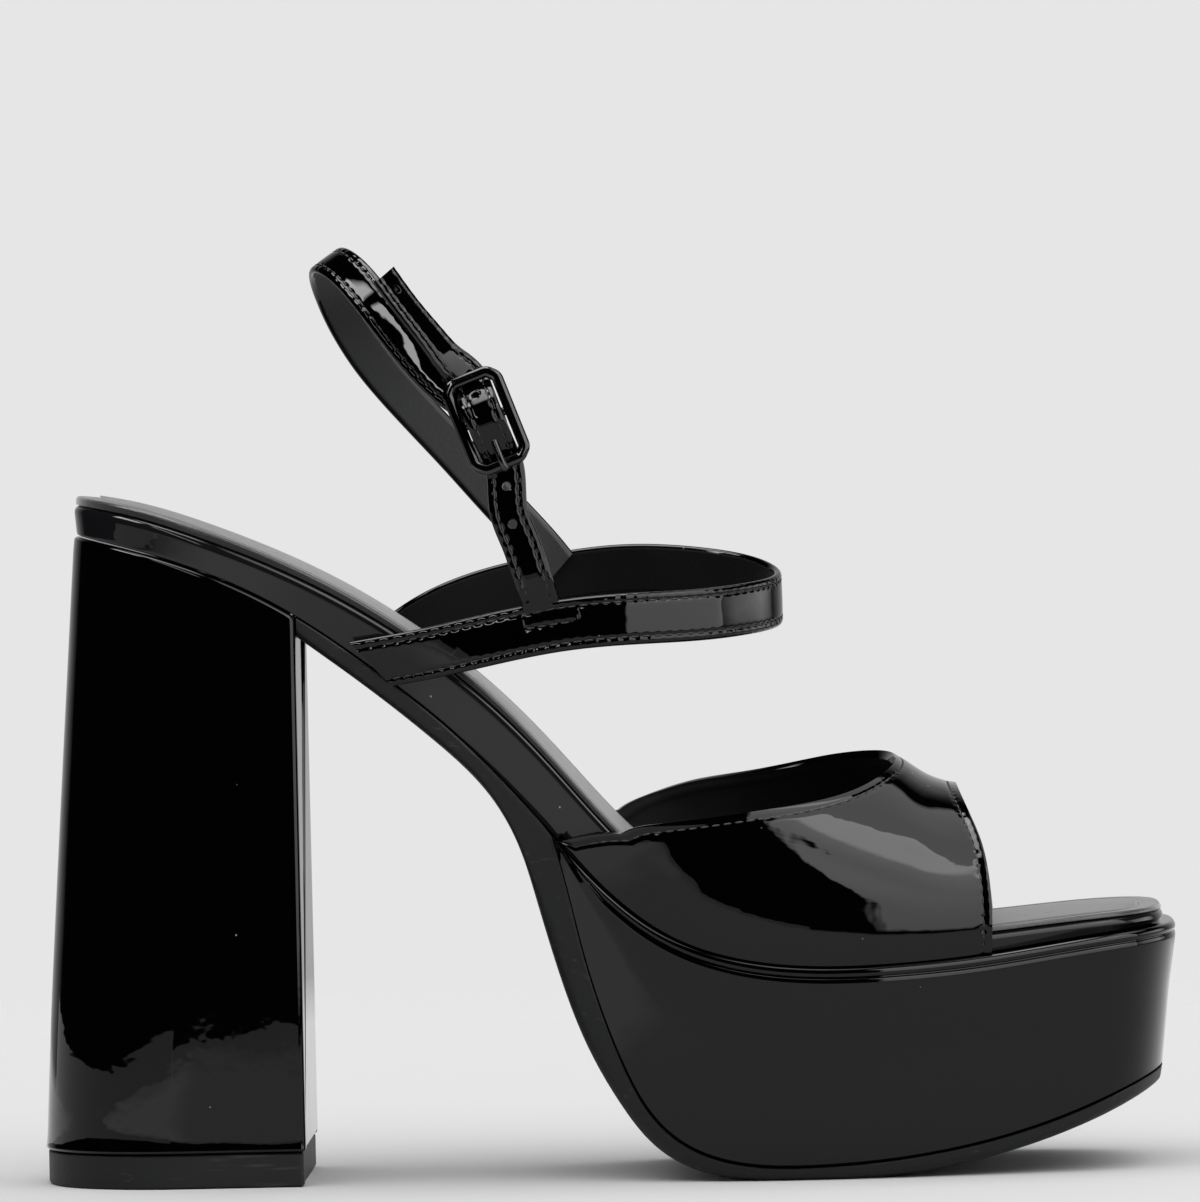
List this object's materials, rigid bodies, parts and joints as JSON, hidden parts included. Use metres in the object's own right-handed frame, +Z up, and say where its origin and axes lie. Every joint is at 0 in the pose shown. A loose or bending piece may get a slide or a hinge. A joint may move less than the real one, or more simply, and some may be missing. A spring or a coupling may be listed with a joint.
{
  "type": "platform heel sandal",
  "caption": "Women's open-toe platform sandal with a flared block heel, wide toe vamp, instep strap and buckled ankle strap, all in black patent.",
  "frame": {"origin": "on the floor, under the middle of the shoe's box", "axes": "+X to the toe, +Y to the inner side of the foot, +Z up"},
  "size_m": [0.2264, 0.0816, 0.1858],
  "materials": {
    "patent": "black patent, high gloss",
    "sole_rubber": "black moulded rubber, satin",
    "lining": "black lining, soft sheen",
    "black_metal": "black plated metal, polished"
  },
  "bodies": {
    "root": {"outsole": "sole_rubber", "platform": "patent", "heel": "patent", "top_lift": "sole_rubber", "insole": "lining", "vamp": "patent", "straps": "patent", "buckle_frame": "black_metal", "buckle_prong": "black_metal"}
  },
  "joints": []
}
